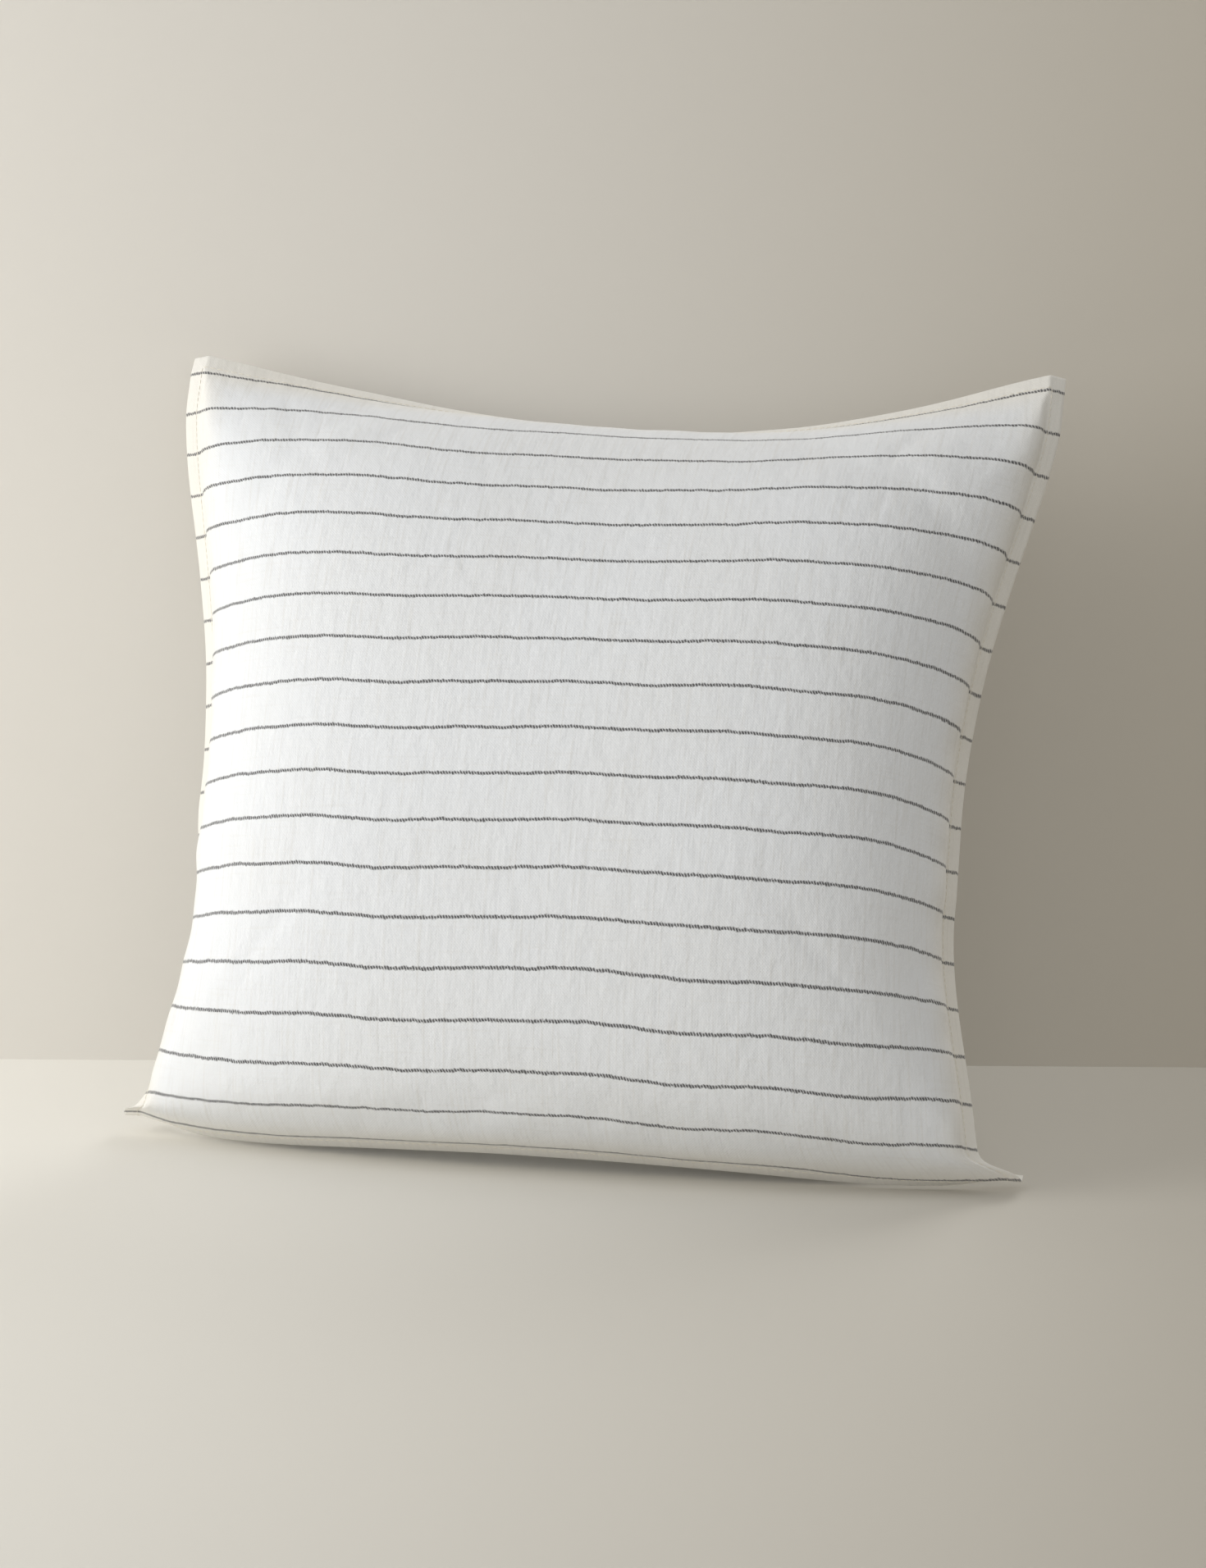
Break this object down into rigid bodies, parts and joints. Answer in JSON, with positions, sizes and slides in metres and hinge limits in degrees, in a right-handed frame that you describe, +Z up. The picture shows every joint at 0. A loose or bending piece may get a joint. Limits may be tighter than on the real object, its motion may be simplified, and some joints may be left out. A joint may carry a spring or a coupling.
{
  "type": "throw pillow",
  "caption": "Square linen throw pillow with woven pinstripes, a narrow self-flange, a zipped cover and an inner pad, leaning back on its lower edge",
  "frame": {"origin": "Centre of the pillow's box on the floor: the pillow stands on its lower edge, on the plane Z = 0.", "axes": "+X across the pillow, along its stripes and its zip; its front looks to -Y and it leans back towards +Y; +Z is up."},
  "size_m": [0.5056, 0.2522, 0.4204],
  "materials": {
    "linen_cover": "washed off-white linen with charcoal woven pinstripes",
    "seam_thread": "spun polyester sewing thread, matched to the linen",
    "zip_tape": "woven polyester tape",
    "zip_coil": "nylon coil",
    "zip_metal": "nickel-plated die cast zinc",
    "cotton_ticking": "plain woven cotton cambric",
    "fibre_fill": "hollow polyester fibre",
    "label_satin": "blank satin ribbon"
  },
  "bodies": {
    "cover": {"front_panel": "linen_cover", "back_upper_panel": "linen_cover", "back_lower_panel": "linen_cover", "flange_topstitch": "seam_thread", "zip_topstitch": "seam_thread", "zip_tape_upper": "zip_tape", "zip_tape_lower": "zip_tape", "zip_coil_upper": "zip_coil", "zip_coil_lower": "zip_coil", "zip_end_stops": "zip_metal", "insert_front_ticking": "cotton_ticking", "insert_back_ticking": "cotton_ticking", "insert_fill": "fibre_fill", "care_label": "label_satin", "insert_label": "label_satin"},
    "slider": {"zip_slider": "zip_metal"},
    "pull": {"zip_pull": "zip_metal"}
  },
  "joints": [
    {"name": "zip_slide", "type": "slide", "parent": "cover", "child": "slider", "axis": [-1, 0, 0], "range_m": [0, 0.316]},
    {"name": "pull_hinge", "type": "hinge", "parent": "slider", "child": "pull", "pos_m": [0.158, -0.01606, 0.03649], "axis": [0, -0.6161, -0.7876], "range_deg": [0, 180]}
  ]
}
